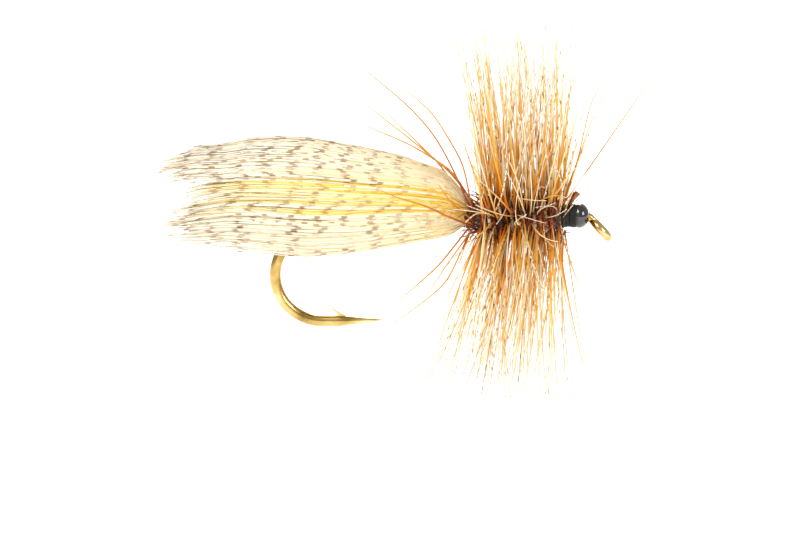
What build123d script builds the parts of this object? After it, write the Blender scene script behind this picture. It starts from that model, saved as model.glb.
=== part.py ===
from build123d import *

import math
import os
import random

# A dry fly tied on a long-shank size 10 hook. Millimetres.
# The origin is the centre of the hook's eye, +X points forward along the shank, +Z is up.

# Hook wire
WIRE_R = 0.28
NECK_R = 0.20
SHANK_Z = 0.675
NECK_REAR_X = -2.20
NECK_FRONT_X = -1.20
NECK_BEND_R = 0.50

# Hook eye, turned down from the shank's line
EYE_TILT = 47.0
EYE_RING_R = 0.55
EYE_BORE_R = 0.36

# Hook bend: a wide arc into a tight one
BEND_START_X = -12.56
WIDE_BEND_R = 3.995
WIDE_BEND_TURN = 54.5
TIGHT_BEND_R = 2.325

# Hook point and barb
POINT_BASE_X = -13.0
POINT_LENGTH = 2.2
POINT_RISE = 0.05
POINT_TIP_R = 0.012
BARB_FRONT_X = -12.20
BARB_REAR_X = -12.80
BARB_TIP = (-13.52, -3.95)
BARB_CREST = (-12.90, -4.34)
BARB_THICKNESS = 0.16

# Thread, body and thorax, as radii about the shank
THREAD_R = 0.035
BASE_R = 0.34
BASE_REAR_X = -12.50
ABDOMEN_REAR_X = -12.45
ABDOMEN_FRONT_X = -7.50
ABDOMEN_REAR_R = 0.50
ABDOMEN_FRONT_R = 0.72
BINDING_REAR_X = -6.90
BINDING_FRONT_X = -6.20
BINDING_R = 0.62
BUTTS_FRONT_X = -2.60
BUTTS_R = 0.55
THORAX_FRONT_X = -1.95
THORAX_R = 0.85

# Hackle: two feathers wound side by side
QUILL_R = 0.085
QUILL_WIND_R = 0.96
QUILL_PITCH = 0.56
QUILL_TURNS = 7
HACKLE_REAR_X = -6.02
BARB_STEP = 25.0
BARB_ROOT_R = 0.05
BARB_TIP_R = 0.014
BARB_GAP = 0.012
HACKLE_R = 9.1
HACKLE_R_SPREAD = 0.55
LEAN_BACK = 13.0
LEAN_FORWARD = 2.5

# Head
TIE_DOWN_R = 0.60
HEAD_REAR_X = -1.65
HEAD_FRONT_X = -0.62
HEAD_REAR_R = 0.50
HEAD_R = 0.57
CEMENT_THICKNESS = 0.05
WHIP_TURNS = 5

SHANK = Axis((0, 0, SHANK_Z), (1, 0, 0))


def side_point(x, z):
    """A point in the fly's middle plane."""
    return Vector(x, 0, z)


def turned(outline):
    """A solid turned about the shank from an outline of (x, radius) points."""
    corners = [(x, SHANK_Z + radius) for x, radius in outline]
    return revolve(Plane.XZ * make_face(Polyline(*corners, close=True)), SHANK)


def sleeve(rear_x, front_x, outer_r, inner_r):
    """A plain sleeve on the shank."""
    return turned([(rear_x, inner_r), (front_x, inner_r), (front_x, outer_r), (rear_x, outer_r)])


def ring(x, wind_r, thread_r):
    """One closed turn of thread about the shank."""
    return Plane((x, 0, SHANK_Z), z_dir=(1, 0, 0)) * Torus(wind_r, thread_r)


def fibre(root, tip, root_r=BARB_ROOT_R, tip_r=BARB_TIP_R):
    """One straight tapered fibre between two points."""
    root, tip = Vector(root), Vector(tip)
    reach = tip - root
    cone = Cone(root_r, tip_r, reach.length, align=(Align.CENTER, Align.CENTER, Align.MIN))
    return Plane(root, z_dir=reach) * cone


def save(name, shape):
    """Write one sub-part under its node's name."""
    shape.label = name
    export_step(shape, f"parts/{name}.step")


def make_hook():
    """The wire: eye, neck, shank, bend, point and barb."""
    down = math.radians(EYE_TILT)
    ahead = Vector(math.cos(down), 0, -math.sin(down))
    eye_axis = Vector(math.sin(down), 0, math.cos(down))
    eye_plane = Plane((0, 0, 0), z_dir=eye_axis)
    eye = eye_plane * (Torus(EYE_RING_R, NECK_R) - Cylinder(EYE_BORE_R, 4 * NECK_R))

    ring_back = ahead * -EYE_RING_R
    drop_to_ring = SHANK_Z - ring_back.Z - NECK_BEND_R * (1 - math.cos(down))
    neck_straight = drop_to_ring / math.sin(down)
    neck_bend_x = ring_back.X - neck_straight * math.cos(down) - NECK_BEND_R * math.sin(down)
    neck_line = Line((NECK_FRONT_X, SHANK_Z), (neck_bend_x, SHANK_Z))
    neck_arc = JernArc(neck_line @ 1, (1, 0), NECK_BEND_R, -EYE_TILT)
    neck_end = Line(neck_arc @ 1, (ring_back.X, ring_back.Z))
    neck_path = Plane.XZ * Wire([neck_line, neck_arc, neck_end])
    neck = sweep(Plane(neck_path @ 0, z_dir=neck_path % 0) * Circle(NECK_R), neck_path)
    neck -= eye_plane * Cylinder(EYE_BORE_R, 4 * NECK_R)
    taper = turned([(NECK_REAR_X, 0), (NECK_FRONT_X, 0), (NECK_FRONT_X, NECK_R), (NECK_REAR_X, WIRE_R)])

    shank = Line((NECK_REAR_X, SHANK_Z), (BEND_START_X, SHANK_Z))
    wide = JernArc(shank @ 1, (-1, 0), WIDE_BEND_R, WIDE_BEND_TURN)
    tight = JernArc(wide @ 1, wide % 1, TIGHT_BEND_R, 180 - WIDE_BEND_TURN)
    throat = Line(tight @ 1, (POINT_BASE_X, (tight @ 1).Y))
    wire_path = Plane.XZ * Wire([shank, wide, tight, throat])
    wire = sweep(Plane(wire_path @ 0, z_dir=wire_path % 0) * Circle(WIRE_R), wire_path)

    point_base = side_point(POINT_BASE_X, (tight @ 1).Y)
    point_tip = point_base + Vector(POINT_LENGTH, 0, POINT_RISE)
    point = loft([Plane(point_base, z_dir=(1, 0, 0)) * Circle(WIRE_R),
                  Plane(point_tip, z_dir=(1, 0, 0)) * Circle(POINT_TIP_R)], ruled=True)

    # the barb is a thin sliver raised from the wire, rooted on the wire's centre line
    root_z = point_base.Z
    top = ThreePointArc((BARB_FRONT_X, root_z), BARB_CREST, BARB_TIP)
    under = Line(BARB_TIP, (BARB_REAR_X, root_z))
    foot = Line((BARB_REAR_X, root_z), (BARB_FRONT_X, root_z))
    barb = extrude(Plane.XZ * make_face([top, under, foot]), BARB_THICKNESS / 2, both=True)
    return wire + taper + neck + eye + point + barb


def make_thread_base():
    """The layer of thread wound along the shank."""
    return sleeve(BASE_REAR_X, NECK_REAR_X, BASE_R, WIRE_R)


def make_abdomen():
    """The dubbed body, thicker towards the thorax and round at its rear."""
    rear_step = 0.35
    return turned([
        (ABDOMEN_REAR_X, BASE_R),
        (ABDOMEN_FRONT_X, BASE_R),
        (ABDOMEN_FRONT_X, ABDOMEN_FRONT_R - 0.06),
        (ABDOMEN_FRONT_X - 0.2, ABDOMEN_FRONT_R),
        (ABDOMEN_REAR_X + rear_step, ABDOMEN_REAR_R),
        (ABDOMEN_REAR_X, ABDOMEN_REAR_R - 0.1),
    ])


def lofted(stations):
    """A closed solid through (x, outline) stations, each outline a list of (y, z) points."""
    faces = []
    for x, outline in stations:
        corners = [(x, y, z) for y, z in outline]
        faces.append(make_face(Polyline(*corners, close=True)))
    return loft(faces, ruled=True)


def bundle_outline(centre_z, half_width, half_height, sides=10):
    """An oval fibre bundle's section as (y, z) points."""
    angles = [2 * math.pi * side / sides for side in range(sides)]
    return [(half_width * math.cos(a), centre_z + half_height * math.sin(a)) for a in angles]


def make_underwing():
    """The yellow bundle that lies along the top of the abdomen and droops behind the bend."""
    return lofted([
        (BINDING_REAR_X, bundle_outline(1.16, 0.28, 0.10)),
        (-7.5, bundle_outline(1.70, 0.40, 0.20)),
        (-8.5, bundle_outline(1.85, 0.62, 0.32)),
        (-12.5, bundle_outline(1.90, 0.80, 0.50)),
        (-16.0, bundle_outline(1.85, 0.90, 0.62)),
        (-19.3, bundle_outline(1.45, 0.75, 0.70)),
    ])


def roof_outline(top_z, drop, half_width, thickness):
    """The wing roof's arched section as (y, z) points."""
    return [
        (half_width, top_z - drop),
        (half_width * 0.55, top_z - drop * 0.3),
        (0, top_z),
        (-half_width * 0.55, top_z - drop * 0.3),
        (-half_width, top_z - drop),
        (-half_width * 0.55, top_z - drop * 0.3 - thickness),
        (0, top_z - thickness),
        (half_width * 0.55, top_z - drop * 0.3 - thickness),
    ]


def make_roof_overwing():
    """The arched top of the wing, from the binding to the two groups of tips."""
    return lofted([
        (BINDING_REAR_X, roof_outline(1.55, 0.12, 0.34, 0.20)),
        (-7.3, roof_outline(2.55, 0.4, 0.60, 0.40)),
        (-8.0, roof_outline(3.00, 0.6, 0.80, 0.45)),
        (-10.0, roof_outline(3.65, 0.7, 1.10, 0.65)),
        (-12.5, roof_outline(4.10, 0.9, 1.40, 0.80)),
        (-15.0, roof_outline(4.50, 1.0, 1.60, 0.95)),
        (-17.5, roof_outline(4.50, 1.0, 1.60, 0.95)),
        (-20.0, roof_outline(3.95, 0.8, 1.40, 0.85)),
        (-22.2, roof_outline(3.20, 0.5, 1.00, 0.40)),
    ])


def panel_outline(side, top_y, top_z, foot_y, foot_z, thickness):
    """A side panel's slanted section as (y, z) points."""
    return [
        (side * top_y, top_z),
        (side * (top_y + thickness), top_z - thickness),
        (side * (foot_y + thickness), foot_z + thickness),
        (side * foot_y, foot_z),
    ]


def make_side_overwing(side):
    """One side of the wing, hanging past the body; side is 1 for the left and -1 for the right."""
    return lofted([
        (BINDING_REAR_X, panel_outline(side, 0.40, 0.95, 0.46, 0.30, 0.12)),
        (-7.5, panel_outline(side, 0.74, 2.00, 0.78, -0.30, 0.25)),
        (-10.0, panel_outline(side, 0.95, 2.60, 1.05, -0.90, 0.35)),
        (-12.5, panel_outline(side, 1.15, 2.75, 1.30, -1.40, 0.40)),
        (-14.5, panel_outline(side, 1.20, 2.90, 1.40, -1.60, 0.40)),
        (-18.0, panel_outline(side, 1.15, 2.80, 1.25, -1.05, 0.35)),
        (-22.0, panel_outline(side, 0.80, 2.20, 0.90, -0.50, 0.20)),
    ])


def make_thorax(hook):
    """The dark dubbing that the hackle is wound over, closed round the thread and the wire."""
    blank = turned([
        (BINDING_FRONT_X, 0),
        (BINDING_FRONT_X, THORAX_R - 0.1),
        (BINDING_FRONT_X + 0.25, THORAX_R),
        (THORAX_FRONT_X - 0.35, THORAX_R),
        (THORAX_FRONT_X, THORAX_R - 0.25),
        (THORAX_FRONT_X, 0),
    ])
    base_room = turned([
        (BINDING_FRONT_X, 0), (NECK_REAR_X, 0), (NECK_REAR_X, BASE_R),
        (BUTTS_FRONT_X, BASE_R), (BUTTS_FRONT_X, BUTTS_R), (BINDING_FRONT_X, BUTTS_R),
    ])
    return blank - base_room - hook


def make_quill(rear_x):
    """One feather's stem, wound forward along the thorax from the given place."""
    path = Helix(QUILL_PITCH, QUILL_PITCH * QUILL_TURNS, QUILL_WIND_R)
    rod = sweep(Plane(path @ 0, z_dir=path % 0) * Circle(QUILL_R), path, is_frenet=True)
    # the helix climbs +Z from +X, so it is laid over to climb +X from the top of the thorax
    return Plane((rear_x, 0, SHANK_Z), x_dir=(0, 0, 1), z_dir=(1, 0, 0)) * rod


def make_barbs(rear_x, seed):
    """One feather's barbs: slim cones that stand out from its stem and lean with their place."""
    draw = random.Random(seed)
    root_r = QUILL_WIND_R + QUILL_R + BARB_GAP
    run = QUILL_PITCH * (QUILL_TURNS + 0.5)
    barbs = []
    for number in range(int(360 * QUILL_TURNS / BARB_STEP)):
        turned_by = BARB_STEP * (number + 0.5)
        x = rear_x + QUILL_PITCH * turned_by / 360
        lean_share = (x - HACKLE_REAR_X) / run
        lean = math.radians(LEAN_FORWARD * lean_share - LEAN_BACK * (1 - lean_share))
        around = math.radians(turned_by)
        out = Vector(0, -math.sin(around), math.cos(around))
        reach = HACKLE_R + draw.uniform(-HACKLE_R_SPREAD, HACKLE_R_SPREAD) - root_r
        root = Vector(x, 0, SHANK_Z) + out * root_r
        barbs.append(fibre(root, root + out * reach + Vector(reach * math.tan(lean), 0, 0)))
    return Compound(children=barbs)


def make_trailing_barbs():
    """Long stray barbs that lean back over and beside the wing."""
    root_x = BINDING_REAR_X + 0.30
    root_r = BINDING_R + BARB_ROOT_R + BARB_GAP
    # each stray is an angle round the binding from the top, positive on the right, and a tip
    strays = [
        (30, (-11.6, -2.6, 8.2)),
        (-30, (-11.8, 2.8, 6.5)),
        (48, (-9.6, -3.0, 7.3)),
        (-52, (-11.6, 3.6, 5.5)),
        (78, (-10.9, -2.8, 2.3)),
        (104, (-8.7, -2.0, -3.0)),
        (128, (-10.8, -2.6, -4.6)),
        (-122, (-10.0, 2.8, -4.2)),
    ]
    barbs = []
    for angle, tip in strays:
        out = Vector(0, -math.sin(math.radians(angle)), math.cos(math.radians(angle)))
        barbs.append(fibre(Vector(root_x, 0, SHANK_Z) + out * root_r, tip))
    return Compound(children=barbs)


def make_front_stray_barbs():
    """Long stray barbs that lean forward over the eye."""
    root_x = THORAX_FRONT_X + 0.10
    strays = [
        ((root_x, -0.20, 1.34), (2.5, -0.9, 8.0)),
        ((root_x, 0.20, 1.34), (0.3, 0.8, 8.2)),
        ((root_x, -0.40, 1.28), (0.2, -1.6, 6.9)),
    ]
    return Compound(children=[fibre(root, tip) for root, tip in strays])


def make_quill_stubs():
    """The trimmed ends of the two hackle quills, bent up over the head."""
    root_x = HEAD_REAR_X + 0.02
    stubs = [
        ((root_x, -0.14, 1.24), (-1.25, -0.16, 1.88)),
        ((root_x, 0.14, 1.24), (-1.15, 0.18, 1.75)),
    ]
    return Compound(children=[fibre(root, tip, QUILL_R, QUILL_R * 0.8) for root, tip in stubs])


def head_outline(grow):
    """The head's outer outline as (x, radius) points, grown outwards by the given thickness."""
    length = HEAD_FRONT_X - HEAD_REAR_X
    return [
        (HEAD_REAR_X + length * 0.35, HEAD_REAR_R + grow),
        (HEAD_REAR_X + length * 0.55, HEAD_R + grow),
        (HEAD_REAR_X + length * 0.72, HEAD_R * 0.94 + grow),
        (HEAD_REAR_X + length * 0.88, HEAD_R * 0.74 + grow),
        (HEAD_FRONT_X, HEAD_R * 0.52 + grow),
    ]


def make_tie_down(hook):
    """Thread turns that trap the quills between the thorax and the head."""
    blank = turned([(THORAX_FRONT_X, 0), (THORAX_FRONT_X, TIE_DOWN_R), (HEAD_REAR_X, HEAD_REAR_R), (HEAD_REAR_X, 0)])
    return blank - hook


def make_head(hook):
    """The thread head: a short drum that swells and then closes in behind the eye."""
    blank = turned([(HEAD_REAR_X, 0), (HEAD_REAR_X, HEAD_REAR_R)] + head_outline(0) + [(HEAD_FRONT_X, 0)])
    return blank - hook


def make_cement():
    """The clear coat over the front of the head."""
    return turned(head_outline(0) + head_outline(CEMENT_THICKNESS)[::-1])


def make_whip_finish():
    """The knot's turns, side by side on the drum at the rear of the head."""
    first_x = HEAD_REAR_X + THREAD_R
    wind_r = HEAD_REAR_R + THREAD_R
    return Compound(children=[ring(first_x + 2 * THREAD_R * turn, wind_r, THREAD_R) for turn in range(WHIP_TURNS)])


hook = make_hook()
save("hook", hook)
save("thread_base", make_thread_base())
save("abdomen", make_abdomen())
save("underwing", make_underwing())
save("roof_overwing", make_roof_overwing())
save("left_overwing", make_side_overwing(1))
save("right_overwing", make_side_overwing(-1))
save("wing_binding", sleeve(BINDING_REAR_X, BINDING_FRONT_X, BINDING_R, BASE_R))
save("wing_butts", sleeve(BINDING_FRONT_X, BUTTS_FRONT_X, BUTTS_R, BASE_R))
save("thorax_dubbing", make_thorax(hook))
save("ginger_hackle_quill", make_quill(HACKLE_REAR_X))
save("ginger_hackle_barbs", make_barbs(HACKLE_REAR_X, 11))
save("grizzly_hackle_quill", make_quill(HACKLE_REAR_X + QUILL_PITCH / 2))
save("grizzly_hackle_barbs", make_barbs(HACKLE_REAR_X + QUILL_PITCH / 2, 23))
save("trailing_barbs", make_trailing_barbs())
save("front_stray_barbs", make_front_stray_barbs())
save("hackle_tie_down", make_tie_down(hook))
save("quill_stubs", make_quill_stubs())
save("thread_head", make_head(hook))
save("whip_finish", make_whip_finish())
save("head_cement", make_cement())
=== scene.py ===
import math

import bpy
import numpy as np
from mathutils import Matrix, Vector


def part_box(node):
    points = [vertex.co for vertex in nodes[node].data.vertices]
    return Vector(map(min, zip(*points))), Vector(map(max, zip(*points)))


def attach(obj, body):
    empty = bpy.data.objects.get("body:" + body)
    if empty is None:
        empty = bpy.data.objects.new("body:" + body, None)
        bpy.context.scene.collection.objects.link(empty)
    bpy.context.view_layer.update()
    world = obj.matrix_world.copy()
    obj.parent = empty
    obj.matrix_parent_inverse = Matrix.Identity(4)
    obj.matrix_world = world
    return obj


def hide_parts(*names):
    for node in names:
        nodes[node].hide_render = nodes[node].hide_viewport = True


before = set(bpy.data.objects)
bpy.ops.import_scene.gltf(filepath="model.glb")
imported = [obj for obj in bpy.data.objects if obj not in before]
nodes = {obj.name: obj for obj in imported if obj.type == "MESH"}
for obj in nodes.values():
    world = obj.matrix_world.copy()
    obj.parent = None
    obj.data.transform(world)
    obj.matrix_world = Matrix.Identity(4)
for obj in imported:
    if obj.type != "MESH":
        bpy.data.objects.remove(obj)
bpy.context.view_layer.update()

# Lengths below are millimetres in the CAD's frame, and MM turns them into Blender's metres.
MM = 0.001
BODY = "root"


def box_mm(node):
    """A CAD node's lowest and highest corners in millimetres."""
    low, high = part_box(node)
    return np.array(low) / MM, np.array(high) / MM


# Places read from the CAD
base_low, base_high = box_mm("thread_base")
SHANK_Z = (base_low[2] + base_high[2]) / 2
binding_low, binding_high = box_mm("wing_binding")
WING_FRONT_X = binding_low[0]
BINDING_R = (binding_high[2] - binding_low[2]) / 2
WING_REAR_X = box_mm("roof_overwing")[0][0]
abdomen_low, abdomen_high = box_mm("abdomen")
thorax_low, thorax_high = box_mm("thorax_dubbing")
THORAX_R = (thorax_high[2] - thorax_low[2]) / 2
quill_low, quill_high = box_mm("ginger_hackle_quill")
HACKLE_REAR_X = quill_low[0]
HACKLE_FRONT_X = box_mm("grizzly_hackle_quill")[1][0]
QUILL_OUTER_R = (quill_high[2] - quill_low[2]) / 2
barbs_low, barbs_high = box_mm("ginger_hackle_barbs")
HACKLE_R = (barbs_high[1] - barbs_low[1]) / 2
HACKLE_FOOT_Z = min(barbs_low[2], box_mm("grizzly_hackle_barbs")[0][2])
head_low, head_high = box_mm("thread_head")
tie_low, tie_high = box_mm("hackle_tie_down")


# ---------------------------------------------------------------- mesh helpers

def mesh_piece(name, verts, faces, replaced=(), attributes=None):
    """A smooth mesh object in metres that rides on the fly's one body."""
    mesh = bpy.data.meshes.new(name)
    mesh.from_pydata((np.asarray(verts) * MM).tolist(), [], faces)
    mesh.polygons.foreach_set("use_smooth", [True] * len(mesh.polygons))
    for key, values in (attributes or {}).items():
        layer = mesh.attributes.new(key, "FLOAT", "POINT")
        layer.data.foreach_set("value", np.asarray(values, np.float32).ravel())
    mesh.update()
    piece = bpy.data.objects.new(name, mesh)
    bpy.context.scene.collection.objects.link(piece)
    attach(piece, BODY)
    if replaced:
        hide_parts(*replaced)
    return piece


def unit(vectors):
    """Each vector at length 1."""
    return vectors / np.maximum(np.linalg.norm(vectors, axis=-1, keepdims=True), 1e-9)


def tubes(paths, radii, sides, aside=(1, 0, 0), flat=1.0):
    """Vertices and faces of closed tapered tubes.

    paths is (tubes, points, 3), radii is (tubes, points), and flat squeezes the tubes' width."""
    paths = np.asarray(paths, float)
    radii = np.broadcast_to(radii, paths.shape[:2])
    count, points = paths.shape[:2]
    along = unit(np.gradient(paths, axis=1))
    across = unit(np.cross(along, np.broadcast_to(aside, along.shape)))
    up = np.cross(along, across)
    turn = 2 * math.pi * (np.arange(sides) + 0.5) / sides
    ring = (across[:, :, None] * np.cos(turn)[None, None, :, None] * flat
            + up[:, :, None] * np.sin(turn)[None, None, :, None])
    verts = (paths[:, :, None] + ring * radii[:, :, None, None]).reshape(-1, 3)
    corner = np.arange(count * points * sides).reshape(count, points, sides)
    near, far = corner[:, :-1], corner[:, 1:]
    walls = np.stack([near, np.roll(near, -1, 2), np.roll(far, -1, 2), far], -1).reshape(-1, 4)
    faces = walls.tolist() + corner[:, 0, ::-1].tolist() + corner[:, -1].tolist()
    return verts, faces


def fibre_piece(name, paths, radii, slot, material, replaced, aside=(1, 0, 0), flat=1.0, **facts):
    """One piece made of many fibres.

    Each fact is a number for each point of each fibre, read by its material."""
    sides = 4
    verts, faces = tubes(paths, radii, sides, aside, flat)
    shape = paths.shape[:2]
    spread = {key: np.repeat(np.broadcast_to(value, shape), sides) for key, value in facts.items()}
    piece = mesh_piece(name, verts, faces, replaced, spread)
    piece.data.materials.append(material)
    return piece


def turned_piece(name, outline, material, replaced, bumps):
    """A closed solid turned about the shank from (x, radius) points, roughened by bumps(x, angle)."""
    sides = 48
    angle = 2 * math.pi * np.arange(sides) / sides
    x = np.repeat(outline[:, :1], sides, 1)
    radius = np.repeat(outline[:, 1:], sides, 1) + bumps(x, angle[None, :])
    rim = np.stack([x, radius * np.sin(angle), SHANK_Z + radius * np.cos(angle)], -1)
    corner = np.arange(len(outline) * sides).reshape(len(outline), sides)
    near, far = corner[:-1], corner[1:]
    walls = np.stack([near, far, np.roll(far, -1, 1), np.roll(near, -1, 1)], -1).reshape(-1, 4).tolist()
    faces = walls + [corner[0].tolist(), corner[-1, ::-1].tolist()]
    piece = mesh_piece(name, rim.reshape(-1, 3), faces, replaced)
    piece.data.materials.append(material)
    return piece


def smooth_curve(points, count):
    """A rounded path along a few chosen points, as count points."""
    points = np.asarray(points, float)
    knots = np.concatenate([[0], np.cumsum(np.linalg.norm(np.diff(points, axis=0), axis=1))])
    where = np.linspace(0, knots[-1], count)
    path = np.stack([np.interp(where, knots, points[:, k]) for k in range(3)], -1)
    for _ in range(max(2, count // 6)):
        path[1:-1] = (path[:-2] + 2 * path[1:-1] + path[2:]) / 4
    return path


# ---------------------------------------------------------------- material helpers

class Shader:
    """Builds one node material from short calls."""

    def __init__(self, name, **values):
        self.material = bpy.data.materials.new(name)
        self.material.use_nodes = True
        self.tree = self.material.node_tree
        self.surface = self.tree.nodes["Principled BSDF"]
        for key, value in values.items():
            self.surface.inputs[key.replace("_", " ")].default_value = value

    def feed(self, socket, value):
        """Link an output to a socket, or set the socket to a plain value."""
        if hasattr(value, "is_output"):
            self.tree.links.new(value, socket)
        else:
            socket.default_value = value

    def fact(self, name):
        """A number kept on each vertex."""
        made = self.tree.nodes.new("ShaderNodeAttribute")
        made.attribute_name = name
        return made.outputs["Fac"]

    def maths(self, operation, a, b=0.0, c=0.0, clamp=False):
        made = self.tree.nodes.new("ShaderNodeMath")
        made.operation = operation
        made.use_clamp = clamp
        for socket, value in zip(made.inputs, (a, b, c)):
            self.feed(socket, value)
        return made.outputs[0]

    def ramp(self, value, *marked):
        """A colour ramp through (place, colour) pairs."""
        made = self.tree.nodes.new("ShaderNodeValToRGB")
        marks = made.color_ramp.elements
        while len(marks) < len(marked):
            marks.new(0.5)
        for mark, (place, colour) in zip(marks, marked):
            mark.position = place
            mark.color = (*colour, 1)
        self.feed(made.inputs["Fac"], value)
        return made.outputs["Color"]

    def mix(self, factor, a, b, blend="MIX"):
        made = self.tree.nodes.new("ShaderNodeMix")
        made.data_type = "RGBA"
        made.blend_type = blend
        self.feed(made.inputs["Factor"], factor)
        self.feed(made.inputs[6], a)
        self.feed(made.inputs[7], b)
        return made.outputs[2]

    def noise(self, scale, detail=3.0, stretch=(1, 1, 1)):
        """Noise over the object's own coordinates, which are metres, so scale is in features a metre."""
        place = self.tree.nodes.new("ShaderNodeTexCoord")
        sized = self.tree.nodes.new("ShaderNodeMapping")
        sized.inputs["Scale"].default_value = stretch
        self.tree.links.new(place.outputs["Object"], sized.inputs["Vector"])
        made = self.tree.nodes.new("ShaderNodeTexNoise")
        made.inputs["Scale"].default_value = scale
        made.inputs["Detail"].default_value = detail
        self.tree.links.new(sized.outputs["Vector"], made.inputs["Vector"])
        return made.outputs["Fac"]

    def bump(self, height, strength, distance):
        made = self.tree.nodes.new("ShaderNodeBump")
        made.inputs["Strength"].default_value = strength
        made.inputs["Distance"].default_value = distance * MM
        self.tree.links.new(height, made.inputs["Height"])
        self.tree.links.new(made.outputs["Normal"], self.surface.inputs["Normal"])

    def set(self, key, value):
        self.feed(self.surface.inputs[key], value)


def srgb(text):
    """A linear colour from a colour's usual six hex digits."""
    parts = [int(text[i:i + 2], 16) / 255 for i in (0, 2, 4)]
    return tuple(c / 12.92 if c <= 0.04045 else ((c + 0.055) / 1.055) ** 2.4 for c in parts)


def stops(*pairs):
    """Ramp stops from (place, hex digits) pairs."""
    return [(place, srgb(colour)) for place, colour in pairs]


# A bar covers the top of its wave, and fades where the patch noise is low
BAR_START = 0.34
BAR_EDGE = 12.0
PATCH_START = 0.33
PATCH_EDGE = 7.0


def fibre_material(name, ramps, bar_colour, roughness=0.5):
    """Feather fibre: a colour that runs along the fibre, chosen between ramps, with dark bars across it.

    It reads along (0 at the root to 1 at the tip), tone (which ramp), shade (light or dark fibre),
    phase (counts bars) and barred (how dark this fibre's bars are)."""
    s = Shader(name, Roughness=roughness, Specular_IOR_Level=0.35)
    along, tone = s.fact("along"), s.fact("tone")
    colour = s.ramp(along, *ramps[0])
    for number, marked in enumerate(ramps[1:], 1):
        start = (number - 0.5) / len(ramps)
        share = s.maths("MULTIPLY", s.maths("SUBTRACT", tone, start), len(ramps), clamp=True)
        colour = s.mix(share, colour, s.ramp(along, *marked))
    wave = s.maths("PINGPONG", s.fact("phase"), 0.5)
    bar = s.maths("MULTIPLY", s.maths("SUBTRACT", wave, BAR_START), BAR_EDGE, clamp=True)
    patch = s.maths("SUBTRACT", s.noise(900.0, 2.0), PATCH_START)
    patchy = s.maths("MULTIPLY", patch, PATCH_EDGE, clamp=True)
    bar = s.maths("MULTIPLY", s.maths("MULTIPLY", bar, s.fact("barred")), patchy, clamp=True)
    colour = s.mix(bar, colour, (*srgb(bar_colour), 1))
    shading = s.ramp(s.fact("shade"), (0.0, (0.55, 0.52, 0.48)), (1.0, (1.0, 1.0, 1.0)))
    colour = s.mix(1.0, colour, shading, "MULTIPLY")
    s.set("Base Color", colour)
    s.bump(s.noise(24000.0, 2.0, (0.2, 1, 1)), 0.4, 0.01)
    return s.material


def wire_material():
    """Bronzed hook wire: warm metal with darker mottling and fine drawing lines."""
    s = Shader("bronzed_wire", Metallic=1.0)
    mottle = s.noise(700.0, 4.0)
    s.set("Base Color", s.ramp(mottle, *stops((0.30, "8a7038"), (0.52, "ccac66"), (0.75, "f0dca4"))))
    s.set("Roughness", s.maths("MULTIPLY_ADD", s.noise(2600.0, 3.0, (0.15, 1, 1)), 0.22, 0.12))
    s.bump(s.noise(9000.0, 2.0, (0.06, 1, 1)), 0.12, 0.01)
    return s.material


def thread_material(name, dark, light, roughness):
    """Waxed thread: two close shades along the strand, with a fine twist."""
    s = Shader(name, Specular_IOR_Level=0.5)
    s.set("Base Color", s.ramp(s.noise(5200.0, 3.0), *stops((0.35, dark), (0.7, light))))
    s.set("Roughness", s.maths("MULTIPLY_ADD", s.noise(3000.0), 0.2, roughness))
    s.bump(s.noise(30000.0, 2.0), 0.5, 0.01)
    return s.material


def dubbing_material(name, *shades):
    """Blended fur in several shades."""
    s = Shader(name, Roughness=0.75, Sheen_Weight=0.15)
    places = [0.32 + 0.36 * k / (len(shades) - 1) for k in range(len(shades))]
    s.set("Base Color", s.ramp(s.noise(2400.0, 5.0), *stops(*zip(places, shades))))
    s.bump(s.noise(14000.0, 4.0), 0.9, 0.03)
    return s.material


def cement_material():
    """Clear varnish over black thread: near-black and wet, with faint unevenness."""
    s = Shader("head_varnish", Coat_Weight=1.0, Coat_Roughness=0.03, Specular_IOR_Level=0.6)
    s.set("Base Color", s.ramp(s.noise(1800.0), *stops((0.3, "030404"), (0.8, "0d0e0e"))))
    s.set("Roughness", s.maths("MULTIPLY_ADD", s.noise(1500.0), 0.10, 0.05))
    s.bump(s.noise(1500.0, 2.0), 0.10, 0.03)
    return s.material


def quill_material(name, dark, middle, light):
    """Feather stem: horn-like, with darker and lighter stretches."""
    s = Shader(name, Specular_IOR_Level=0.5)
    s.set("Base Color", s.ramp(s.noise(1500.0, 3.0), *stops((0.35, dark), (0.5, middle), (0.66, light))))
    s.set("Roughness", s.maths("MULTIPLY_ADD", s.noise(2600.0), 0.25, 0.3))
    s.bump(s.noise(11000.0, 3.0), 0.5, 0.02)
    return s.material


WIRE = wire_material()
BLACK_THREAD = thread_material("black_thread", "050505", "1a1b1a", 0.42)
DARK_THREAD = thread_material("brown_thread", "1c1008", "4a2c16", 0.45)
CEMENT = cement_material()
YELLOW_DUBBING = dubbing_material("yellow_dubbing", "9a7318", "d2a429", "f0cf62")
DARK_DUBBING = dubbing_material("dark_dubbing", "0a0504", "4a1a08", "a8480e", "1c0c06")
BROWN_QUILL = quill_material("brown_quill", "4a1d08", "9a4a14", "c8742a")
CREAM_QUILL = quill_material("cream_quill", "2a1a10", "b09068", "f0e2c4")
STUB_QUILL = quill_material("stub_quill", "2c1006", "6e3010", "a05a28")
GINGER = fibre_material("ginger_barb", [
    stops((0.0, "b84c06"), (0.16, "ea9414"), (0.45, "f6b632"), (0.75, "f8d078"), (1.0, "f8e6c0")),
    stops((0.0, "8c3404"), (0.20, "d87a0c"), (0.58, "eaa024"), (0.86, "dca44c"), (1.0, "f0d6a6")),
    stops((0.0, "c8640c"), (0.22, "f8c044"), (0.55, "fae29c"), (1.0, "fcf2da")),
], "6a3c0a")
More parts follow.
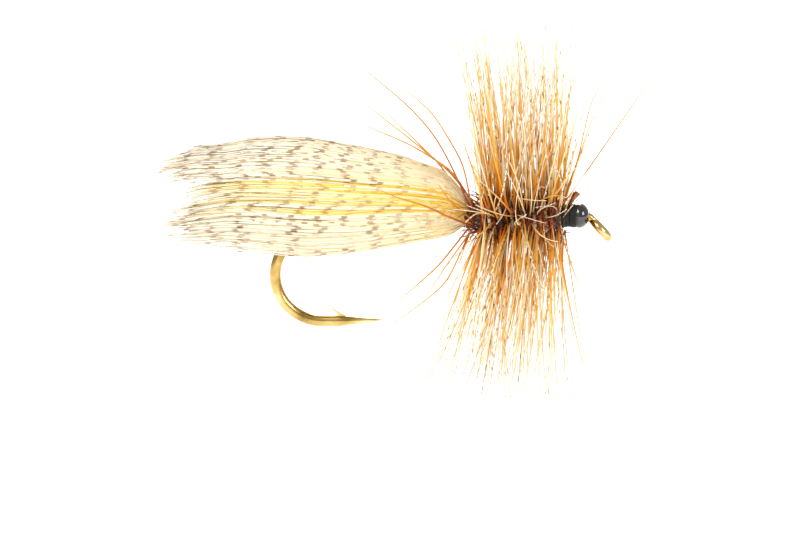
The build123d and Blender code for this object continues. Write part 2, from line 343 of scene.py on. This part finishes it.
GRIZZLY = fibre_material("grizzly_barb", [
    stops((0.0, "7a5024"), (0.10, "f0d8a0"), (0.40, "fcf2d4"), (1.0, "fbf4e6")),
    stops((0.0, "2c1a10"), (0.12, "b89058"), (0.36, "f8e4b4"), (1.0, "faecd0")),
    stops((0.0, "d08424"), (0.18, "fad88c"), (0.60, "fdf6e0"), (1.0, "fcf6ec")),
], "4a3c30")
DARK_FUR = fibre_material("dark_fur", [
    stops((0.0, "080504"), (1.0, "1c0f0a")),
    stops((0.0, "2a0e05"), (1.0, "5e2108")),
    stops((0.0, "7a2806"), (1.0, "c4560c")),
], "080504", roughness=0.6)
CREAM_WING = fibre_material("cream_wing_fibre", [
    stops((0.0, "f0dca6"), (0.35, "f0e2be"), (0.75, "f1e6cc"), (1.0, "f2e7d2")),
    stops((0.0, "ead290"), (0.40, "ecdab0"), (1.0, "eadabc")),
    stops((0.0, "f5eaca"), (0.40, "f6eeda"), (1.0, "f7f0e4")),
], "84581e")
YELLOW_WING = fibre_material("yellow_wing_fibre", [
    stops((0.0, "e8b838"), (0.35, "f0cc5a"), (0.75, "f2dc88"), (1.0, "f2e4b0")),
    stops((0.0, "d8a024"), (0.40, "e8bc3c"), (1.0, "eed284")),
    stops((0.0, "f0d470"), (0.40, "f6e29c"), (1.0, "f6eac4")),
], "b4841c")


# ---------------------------------------------------------------- wing

# The wing's side outline, rear to front, shaped like a flank feather folded over the body
OUTLINE_X = np.array([-22.2, -20.0, -17.5, -16.0, -14.5, -12.5, -10.0, -8.0, -7.0])
OUTLINE_TOP = np.array([3.3, 4.05, 4.58, 4.66, 4.60, 4.26, 3.72, 3.05, 2.45])
OUTLINE_FOOT = np.array([-0.35, -0.55, -0.78, -0.92, -1.05, -0.92, -0.52, -0.18, -0.05])
OUTLINE_HALF = np.array([1.15, 1.45, 1.65, 1.66, 1.62, 1.50, 1.20, 0.98, 0.85])
# The yellow band, as shares of the wing's height
BAND_FOOT = 0.36
BAND_TOP = 0.72
# Bars lie in slanting, slightly wavy rows
BAR_SPACING = 1.32
BAR_SLANT = -0.30
BAR_WAVER = 0.18
BAR_JITTER = 0.22
# Behind the bend the tips gather in an upper and a lower lobe, parted at this share of the height
LOBE_START_X = -18.6
LOBE_LENGTH = 3.6
LOBE_PARTING = 0.62
LOBE_SPREAD = 0.10
# Under the binding the fibres are drawn in to the shank over this length
GATHER_LENGTH = 1.3
GATHER_IN = 0.62
GATHER_DOWN = 0.78
WING_FIBRE_R = 0.066


def wing_fibres(draw, count, height_range, depth_range, tip_range, side):
    """Paths of wing fibres, with how far along each point is.

    A lane runs from the binding to its tip at a steady share of the wing's height, and depth is how far
    inside the folded feather it lies, from 0 at its skin. Side is -1 or 1, or None for both."""
    low, high = height_range
    share = low + (high - low) * (np.arange(count) + draw.uniform(0, 1, count)) / count
    depth = draw.uniform(*depth_range, count)
    sides = draw.choice([-1.0, 1.0], count) if side is None else np.full(count, side)
    tip_x = draw.uniform(*tip_range, count)
    # the feather's edges end sooner than its middle
    edge = np.abs(share - 0.5) * 2
    tip_x = tip_x + (edge ** 6) * draw.uniform(0.0, 7.0, count)
    t = np.linspace(0, 1, 26)[None, :]
    start_x = WING_FRONT_X + draw.uniform(0.15, 0.6, count)
    x = start_x[:, None] + (tip_x - start_x)[:, None] * t
    top = np.interp(x, OUTLINE_X, OUTLINE_TOP)
    foot = np.interp(x, OUTLINE_X, OUTLINE_FOOT)
    half = np.interp(x, OUTLINE_X, OUTLINE_HALF)
    drift = draw.normal(0, 0.020, count)[:, None] * t
    drift = drift + draw.normal(0, 0.012, count)[:, None] * np.sin(t * 5 + share[:, None] * 40)
    lane = np.clip(share[:, None] + drift, -0.02, 1.03)
    parting = np.clip((LOBE_START_X - x) / LOBE_LENGTH, 0, 1)
    lane = lane + parting * LOBE_SPREAD * np.tanh((lane - LOBE_PARTING) * 14)
    z = foot + (top - foot) * lane
    fold = np.sqrt(np.clip(1 - np.clip(lane, 0, 1) ** 5, 0, 1))
    y = sides[:, None] * half * fold * (1 - depth[:, None] * 0.62)
    y = y + draw.normal(0, 0.04, count)[:, None] * t
    sink = np.minimum(depth, 0.4)[:, None] * 0.105
    z = z - sink * np.clip(lane, 0, 1) ** 3 * (top - foot)
    gather = np.clip(1 - (start_x[:, None] - x) / GATHER_LENGTH, 0, 1) ** 1.5
    y = y * (1 - GATHER_IN * gather)
    z = z * (1 - GATHER_DOWN * gather) + (SHANK_Z + 0.05) * GATHER_DOWN * gather
    return np.stack([x, y, z], -1), t


def wing_piece(name, draw, count, height_range, depth_range, tip_range, slot, material, node,
               side=None, barred_share=0.92):
    """One bundle of barred wing fibres."""
    paths, t = wing_fibres(draw, count, height_range, depth_range, tip_range, side)
    x, z = paths[..., 0], paths[..., 2]
    swell = (0.55 + 0.45 * np.clip(t * 5, 0, 1)) * (1 - 0.72 * t ** 4)
    radii = WING_FIBRE_R * draw.uniform(0.8, 1.25, count)[:, None] * swell
    row = x / BAR_SPACING + BAR_SLANT * z
    row = row + BAR_WAVER * np.sin(z * 2.1) + draw.normal(0, BAR_JITTER, count)[:, None]
    is_barred = draw.uniform(size=count) < barred_share
    barred = np.where(is_barred, draw.uniform(0.45, 0.85, count), 0.0)[:, None]
    barred = barred * (0.25 + 0.75 * np.clip(t * 2.5, 0, 1))
    tone = draw.uniform(0, 1, count)[:, None]
    shade = draw.uniform(0.84, 1.0, count)[:, None]
    fibre_piece(name, paths, radii, slot, material, [node], aside=(0, 0, 1), flat=0.42,
                along=t, tone=tone, shade=shade, phase=row + 100.0, barred=barred)


def make_wing():
    """A cream roof and two cream sides over a yellow middle that shows through them."""
    draw = np.random.default_rng(301)
    tips = (WING_REAR_X, WING_REAR_X + 2.4)
    skin = (0.0, 0.10)
    wing_piece("roof_fibres", draw, 280, (0.80, 1.0), (0.0, 1.6), tips, "cream_fibre", CREAM_WING,
               "roof_overwing")
    for side, name in ((-1.0, "right"), (1.0, "left")):
        for part, count, heights in (("upper", 110, (BAND_TOP - 0.03, 0.97)),
                                     ("band", 20, (BAND_FOOT, BAND_TOP)),
                                     ("lower", 120, (0.0, BAND_FOOT + 0.03))):
            wing_piece(f"{name}_{part}_fibres", draw, count, heights, skin, tips, "cream_fibre", CREAM_WING,
                       f"{name}_overwing", side=side)
    wing_piece("underwing_fibres", draw, 290, (BAND_FOOT - 0.02, BAND_TOP + 0.02), (0.0, 0.16),
               (-20.6, -15.5), "yellow_fibre", YELLOW_WING, "underwing", barred_share=0.75)


# ---------------------------------------------------------------- hackle

# How much the barbs lean forward at the hackle's rear and front, in degrees, and how much less at the bottom
REAR_LEAN = -5.0
REAR_LEAN_LOSS = 12.0
FRONT_LEAN = 2.0
FRONT_LEAN_LOSS = 2.5
LEAN_SPREAD = 4.2
BROKEN_SHARE = 0.24
BARB_ROOT_R = QUILL_OUTER_R - 0.08
BARB_REACH = HACKLE_R - 0.40


def hackle_lean(x, around):
    """How far a barb at x leans forward, in degrees, where around is its angle from the top."""
    ahead = (x - HACKLE_REAR_X) / (HACKLE_FRONT_X - HACKLE_REAR_X)
    low = (1 - np.cos(around)) / 2
    rear = REAR_LEAN - REAR_LEAN_LOSS * low
    front = FRONT_LEAN - FRONT_LEAN_LOSS * low
    return rear + (front - rear) * np.clip(ahead, 0, 1) ** 0.8


def hackle_barbs(draw, count, reach_spread):
    """Paths of barbs that stand out from the wound quills, with how far along each point is."""
    turn = np.sort(draw.uniform(0, 1, count))
    x = HACKLE_REAR_X + 0.1 + (HACKLE_FRONT_X - HACKLE_REAR_X - 0.2) * turn
    around = draw.uniform(0, 2 * math.pi, count)
    # barbs sweep up or down from where they root, so fewer stand straight out to the sides
    sweep = np.where(draw.uniform(size=count) < 0.3, 0.55, 0.20)
    swing = around - 0.34 * np.sin(2 * around) + draw.normal(0, 1, count) * sweep
    lean = np.radians(hackle_lean(x, around) + draw.normal(0, LEAN_SPREAD, count))
    length = BARB_REACH + draw.normal(0, reach_spread, count)
    is_broken = draw.uniform(size=count) < BROKEN_SHARE
    length = np.where(is_broken, length * draw.uniform(0.55, 0.92, count), length)
    length = length * (1 + 0.05 * np.cos(around))
    t = np.linspace(0, 1, 12)[None, :]
    run = (length - BARB_ROOT_R)[:, None] * t
    bend = draw.normal(0, 0.50, count)[:, None] * t ** 2
    side_bend = draw.normal(0, 0.65, count)[:, None] * t ** 2
    out = run * np.cos(lean)[:, None]
    swing = swing[:, None] + draw.normal(0, 0.05, count)[:, None] * t
    root_y = -np.sin(around)[:, None] * BARB_ROOT_R
    root_z = SHANK_Z + np.cos(around)[:, None] * BARB_ROOT_R
    px = x[:, None] + run * np.sin(lean)[:, None] + bend
    py = root_y - np.sin(swing) * out - np.cos(swing) * side_bend
    pz = root_z + np.cos(swing) * out - np.sin(swing) * side_bend
    return np.stack([px, py, pz], -1), t


def hackle_piece(name, draw, count, spread, feather, material, thickness, barred_share, bar_spacing):
    """One share of a hackle's barbs; feather names the hackle, and its CAD barbs are the node they replace.
    """
    paths, t = hackle_barbs(draw, count, spread)
    radii = thickness * draw.uniform(0.75, 1.25, count)[:, None] * (1 - 0.55 * t ** 1.5)
    is_barred = draw.uniform(size=count) < barred_share
    barred = np.where(is_barred, draw.uniform(0.6, 1.0, count), 0.0)[:, None]
    phase = draw.uniform(0, 9, count)[:, None] + t * BARB_REACH / bar_spacing
    tone = draw.uniform(0, 1, count)[:, None]
    shade = draw.uniform(0.6, 1.0, count)[:, None]
    fibre_piece(name, paths, radii, feather, material, [f"{feather}_barbs"], flat=0.75,
                along=t, tone=tone, shade=shade, phase=phase, barred=barred)


def make_hackle():
    """Two wound feathers whose barbs mingle, each in four pieces."""
    draw = np.random.default_rng(17)
    for number in range(1, 5):
        hackle_piece(f"ginger_barbs_{number}", draw, 78, 0.65, "ginger_hackle", GINGER, 0.046, 0.12, 1.3)
    for number in range(1, 5):
        hackle_piece(f"grizzly_barbs_{number}", draw, 82, 0.70, "grizzly_hackle", GRIZZLY, 0.040, 0.34, 0.85)


def stray_piece(name, strays, tones, thickness, slot, node):
    """Long single ginger barbs along chosen paths."""
    points = 16
    paths = np.array([smooth_curve(stray, points) for stray in strays])
    t = np.linspace(0, 1, points)[None, :]
    count = len(strays)
    tone = np.array(tones)[:, None]
    shade = np.linspace(0.4, 0.7, count)[:, None]
    phase = t * 8 + np.arange(count)[:, None] * 0.37
    fibre_piece(name, paths, thickness * (1 - 0.6 * t ** 2), slot, GINGER, [node],
                along=t * 0.72, tone=tone, shade=shade, phase=phase, barred=np.where(tone > 0.5, 0.3, 0.0))


def make_strays():
    """Barbs that lean back over the wing, and three that lean forward over the eye."""
    stray_piece("trailing_strays", [
        [(-6.4, -0.8, 0.9), (-7.4, -1.1, 3.2), (-8.3, -1.3, 4.9), (-9.6, -1.7, 6.4), (-11.6, -2.2, 8.1)],
        [(-6.3, -0.6, 1.3), (-7.5, -0.9, 3.0), (-9.9, -1.2, 5.0), (-11.8, -1.4, 6.5)],
        [(-6.3, -0.7, 1.2), (-7.4, -1.1, 3.1), (-9.5, -1.8, 4.5), (-11.6, -2.6, 5.5)],
        [(-6.4, -0.9, 0.9), (-6.9, -1.4, 3.5), (-7.7, -1.9, 4.9), (-8.4, -2.3, 6.1), (-9.6, -3.0, 7.2)],
        [(-6.4, -0.95, 0.3), (-7.7, -1.5, 0.9), (-8.8, -1.8, 1.5), (-10.1, -2.1, 1.9), (-10.9, -2.3, 2.3)],
        [(-6.4, -0.95, 0.6), (-7.6, -1.6, 1.7), (-8.1, -1.8, 2.5)],
        [(-6.4, -0.95, 0.4), (-8.5, -1.9, 1.6), (-9.1, -2.1, 1.9)],
        [(-6.4, -0.95, 0.2), (-7.7, -1.6, -1.5), (-8.7, -2.0, -3.0)],
        [(-6.5, -0.90, 0.1), (-7.1, -1.4, -1.5)],
        [(-6.5, -0.90, 0.1), (-7.7, -1.7, -2.4), (-9.0, -2.1, -3.4), (-10.8, -2.4, -4.6)],
        [(-6.4, 0.90, 0.9), (-8.0, 1.8, 3.0), (-10.6, 2.9, 5.4)],
        [(-6.4, 0.90, 0.1), (-8.0, 1.9, -2.2), (-10.0, 2.8, -4.2)],
    ], [0.5, 0.3, 0.6, 0.4, 0.5, 0.4, 0.9, 0.4, 0.3, 0.6, 0.5, 0.3], 0.056, "ginger_hackle", "trailing_barbs")
    stray_piece("front_strays", [
        [(-1.9, -0.3, 1.3), (-0.3, -0.5, 3.7), (2.5, -0.9, 8.0)],
        [(-1.9, -0.3, 1.4), (-1.25, -0.4, 3.4), (-0.65, -0.5, 6.4), (0.3, -0.6, 8.2)],
        [(-1.9, 0.3, 1.4), (-1.1, 0.4, 3.6), (-0.5, 0.5, 5.4), (0.2, 0.6, 6.9)],
    ], [0.3, 0.4, 0.2], 0.042, "grizzly_hackle", "front_stray_barbs")


# ---------------------------------------------------------------- body and thorax

def make_fur(name, draw, count, x_range, root_r, length_range, slot, material, node, thickness, tones, curl):
    """Short curly fibres that lie round the body at every angle, each in one of the given tones."""
    points = 9
    x = draw.uniform(*x_range, count)
    around = draw.uniform(0, 2 * math.pi, count)
    length = draw.uniform(*length_range, count)
    t = np.linspace(0, 1, points)[None, :]
    heading = draw.uniform(0, 2 * math.pi, count)[:, None] + draw.normal(0, curl, count)[:, None] * t
    step = length[:, None] / points
    px = x[:, None] + np.cumsum(np.cos(heading), 1) * step
    swing = around[:, None] + np.cumsum(np.sin(heading), 1) * step / root_r
    rise = root_r + np.sin(t * math.pi * 0.5) * draw.uniform(0.02, 0.45, count)[:, None] * length[:, None]
    paths = np.stack([px, -np.sin(swing) * rise, SHANK_Z + np.cos(swing) * rise], -1)
    radii = thickness * (1 - 0.6 * t) * draw.uniform(0.7, 1.3, count)[:, None]
    tone = draw.choice(tones, count)[:, None]
    shade = draw.uniform(0.3, 1.0, count)[:, None]
    fibre_piece(name, paths, radii, slot, material, [node], aside=(0.6, 0.5, 0.62),
                along=t, tone=tone, shade=shade, phase=t * 0, barred=t * 0)


def lumpy(strength, fine, seed):
    """Soft uneven bumps for a dubbed body."""
    draw = np.random.default_rng(seed)
    waves = [(draw.integers(1, 7), draw.uniform(2, fine), draw.uniform(0, 6.28)) for _ in range(14)]

    def bumps(x, angle):
        """How much the surface rises at x and at an angle round the shank."""
        total = sum(np.sin(angle * turns + x * rate + start) for turns, rate, start in waves)
        return strength * total / len(waves)
    return bumps


def dubbed_outline(rear_x, front_x, rear_r, front_r):
    """A body outline that swells from rear to front and closes round at both ends."""
    t = np.linspace(0, 1, 40)
    rounding = np.clip(np.sin(np.pi * np.clip(t, 0.004, 0.996)) * 3.0, 0.25, 1)
    radius = (rear_r + (front_r - rear_r) * t) * rounding
    return np.stack([rear_x + (front_x - rear_x) * t, radius], -1)


def make_body():
    """The yellow abdomen and the dark thorax, each a dubbed core with loose fur."""
    draw = np.random.default_rng(41)
    abdomen_r = (abdomen_high[2] - abdomen_low[2]) / 2
    abdomen = dubbed_outline(abdomen_low[0], abdomen_high[0], abdomen_r * 0.7, abdomen_r)
    turned_piece("dubbed_abdomen", abdomen, YELLOW_DUBBING, ["abdomen"], lumpy(0.10, 9, 5))
    make_fur("abdomen_fur", draw, 700, (abdomen_low[0] + 0.3, abdomen_high[0] - 0.3), abdomen_r * 0.92,
             (0.5, 1.4), "yellow_dubbing", YELLOW_WING, "abdomen", 0.022, (0.0, 0.4), 1.6)
    thorax = dubbed_outline(thorax_low[0], thorax_high[0], THORAX_R * 0.96, THORAX_R)
    turned_piece("thorax_core", thorax, DARK_DUBBING, ["thorax_dubbing"], lumpy(0.10, 11, 9))
    make_fur("thorax_fur", draw, 900, (thorax_low[0] + 0.1, thorax_high[0] - 0.5), THORAX_R, (0.5, 1.5),
             "dark_dubbing", DARK_FUR, "thorax_dubbing", 0.030, (0.0, 0.0, 0.5, 1.0, 1.0), 1.8)


def wound_thread(name, outline, pitch, thread_r, material, node, sides=8, wobble=0.0, seed=1):
    """Close turns of thread that follow an (x, radius) outline about the shank."""
    draw = np.random.default_rng(seed)
    turns = (outline[-1, 0] - outline[0, 0]) / pitch
    points = int(turns * 26) + 1
    t = np.linspace(0, 1, points)
    x = outline[0, 0] + (outline[-1, 0] - outline[0, 0]) * t
    radius = np.interp(x, outline[:, 0], outline[:, 1])
    around = 2 * math.pi * turns * t
    marks = np.arange(0, around[-1] + 4, 1.7)
    x = x + np.interp(around, marks, draw.normal(0, wobble, len(marks)))
    path = np.stack([x, -np.sin(around) * radius, SHANK_Z + np.cos(around) * radius], -1)[None]
    verts, faces = tubes(path, np.full((1, points), thread_r), sides)
    piece = mesh_piece(name, verts, faces, [node])
    piece.data.materials.append(material)


# ---------------------------------------------------------------- head

def make_head():
    """A thread head under a drop of varnish, with its last knot and the turns that trap the hackle tips."""
    rear_x, front_x = head_low[0], head_high[0]
    span = front_x - rear_x
    head_r = (head_high[2] - head_low[2]) / 2
    t = np.linspace(0, 1, 24)
    swell = 0.86 + 0.14 * np.sin(np.clip(t * 1.5, 0, 1) * math.pi)
    nose = np.sqrt(np.clip(1 - (np.clip(t - 0.42, 0, 1) / 0.62) ** 2, 0.05, 1))
    outline = np.stack([rear_x + span * t, head_r * swell * nose - 0.03], -1)
    turned_piece("head_core", outline, BLACK_THREAD, ["thread_head"], lumpy(0.02, 9, 3))
    wound_thread("head_turns", outline[:16], 0.062, 0.034, BLACK_THREAD, "thread_head", wobble=0.012, seed=4)
    band = np.array([[rear_x + 0.05, head_r * 0.93], [rear_x + 0.38, head_r * 1.0]])
    wound_thread("whip_finish_turns", band, 0.068, 0.036, BLACK_THREAD, "whip_finish", wobble=0.01, seed=6)
    dome_t = np.linspace(0.30, 1.0, 22)
    dome = head_r * 1.10 * np.sqrt(np.clip(1 - ((dome_t - 0.55) / 0.50) ** 2, 0.0, 1))
    dome_outline = np.stack([rear_x + span * dome_t, np.maximum(dome, 0.18)], -1)
    turned_piece("head_varnish_dome", dome_outline, CEMENT, ["head_cement"], lumpy(0.03, 3, 8))
    tie = np.array([[tie_low[0] - 0.05, 0.60], [tie_high[0] + 0.05, 0.52]])
    wound_thread("tie_down_turns", tie, 0.066, 0.036, BLACK_THREAD, "hackle_tie_down", wobble=0.012, seed=2)


def make_bindings():
    """The turns that hold the wing, and the layer of thread along the shank."""
    binding = np.array([[binding_low[0] + 0.03, BINDING_R * 0.86], [binding_low[0] + 0.3, BINDING_R * 0.98],
                        [binding_high[0] - 0.03, BINDING_R * 0.96]])
    wound_thread("binding_turns", binding, 0.07, 0.040, DARK_THREAD, "wing_binding", wobble=0.014, seed=12)
    base_r = (base_high[2] - base_low[2]) / 2
    layer = np.array([[base_low[0], base_r - 0.03], [base_high[0], base_r - 0.03]])
    wound_thread("thread_layer", layer, 0.085, 0.034, DARK_THREAD, "thread_base", sides=6)


def make_stubs():
    """The cut quill ends above the head, each a little bent."""
    low, high = box_mm("quill_stubs")
    root_x, root_z = low[0] + 0.1, low[2] + 0.05
    stubs = [
        [(root_x, -0.16, root_z), (root_x + 0.22, -0.17, root_z + 0.35), (high[0] - 0.12, -0.15, high[2])],
        [(root_x, 0.12, root_z), (root_x + 0.25, 0.15, root_z + 0.28), (high[0], 0.16, high[2] - 0.12)],
        [(root_x, 0.0, root_z), (root_x + 0.16, 0.0, root_z + 0.30), (high[0] - 0.25, 0.02, high[2] - 0.05)],
    ]
    points = 10
    paths = np.array([smooth_curve(stub, points) for stub in stubs])
    radii = np.linspace(0.085, 0.10, points)[None, :] * np.array([[1.0], [0.9], [0.8]])
    verts, faces = tubes(paths, radii, 10, aside=(0, 1, 0))
    piece = mesh_piece("cut_quill_stubs", verts, faces, ["quill_stubs"])
    piece.data.materials.append(STUB_QUILL)


# ---------------------------------------------------------------- CAD nodes that stay

def dress(node, material):
    """A CAD node keeps its shape and gets a finished material."""
    obj = nodes[node]
    obj.data.materials.clear()
    obj.data.materials.append(material)


def dress_nodes():
    dress("hook", WIRE)
    dress("ginger_hackle_quill", BROWN_QUILL)
    dress("grizzly_hackle_quill", CREAM_QUILL)
    dress("wing_butts", CREAM_QUILL)


# ---------------------------------------------------------------- floor, lights and camera

def make_floor():
    """A plain white floor that the hackle's tips rest on."""
    size = 3.0
    z = (HACKLE_FOOT_Z - 0.4) * MM
    mesh = bpy.data.meshes.new("floor")
    corners = [(-size, -size, z), (size, -size, z), (size, size, z), (-size, size, z)]
    mesh.from_pydata(corners, [], [(0, 1, 2, 3)])
    floor = bpy.data.objects.new("floor", mesh)
    bpy.context.scene.collection.objects.link(floor)
    s = Shader("white_floor", Roughness=0.9, Specular_IOR_Level=0.1)
    s.set("Base Color", s.ramp(s.noise(3.0, 2.0), (0.0, (0.93, 0.93, 0.92)), (1.0, (0.96, 0.96, 0.955))))
    s.surface.inputs["Emission Color"].default_value = (1, 1, 0.99, 1)
    s.surface.inputs["Emission Strength"].default_value = 0.38
    floor.data.materials.append(s.material)


def soft_light(name, place, size, power):
    """A square softbox that faces the middle of the fly."""
    light = bpy.data.lights.new(name, "AREA")
    light.size = size
    light.energy = power
    lamp = bpy.data.objects.new(name, light)
    lamp.location = place
    facing = Vector((-10.0, 0, 0)) * MM - Vector(place)
    lamp.rotation_euler = facing.to_track_quat("-Z", "Y").to_euler()
    bpy.context.scene.collection.objects.link(lamp)


def make_lights():
    """Three softboxes in a bright white studio."""
    soft_light("key_softbox", (-0.16, -0.22, 0.30), 0.16, 1.12)
    soft_light("fill_softbox", (0.26, -0.20, 0.16), 0.14, 0.45)
    soft_light("back_softbox", (-0.05, 0.30, 0.22), 0.25, 0.8)
    world = bpy.data.worlds.new("studio")
    world.use_nodes = True
    world.node_tree.nodes["Background"].inputs["Color"].default_value = (1.0, 1.0, 1.0, 1)
    world.node_tree.nodes["Background"].inputs["Strength"].default_value = 0.55
    bpy.context.scene.world = world
    bpy.context.scene.view_settings.view_transform = "Standard"


def make_camera():
    """A long lens at the fly's side, a little above it."""
    elevation = math.radians(11.0)
    frame_width = 40.0 * MM
    target = Vector((-10.0, 0, -1.9)) * MM
    camera = bpy.data.cameras.new("camera")
    camera.lens = 100.0
    camera.sensor_width = 36.0
    camera.clip_start = 0.005
    camera.clip_end = 10.0
    distance = frame_width * camera.lens / camera.sensor_width
    holder = bpy.data.objects.new("camera", camera)
    holder.location = target + Vector((0, -math.cos(elevation), math.sin(elevation))) * distance
    holder.rotation_euler = (target - holder.location).to_track_quat("-Z", "Y").to_euler()
    bpy.context.scene.collection.objects.link(holder)
    bpy.context.scene.camera = holder


make_wing()
make_hackle()
make_strays()
make_body()
make_head()
make_bindings()
make_stubs()
dress_nodes()
make_floor()
make_lights()
make_camera()
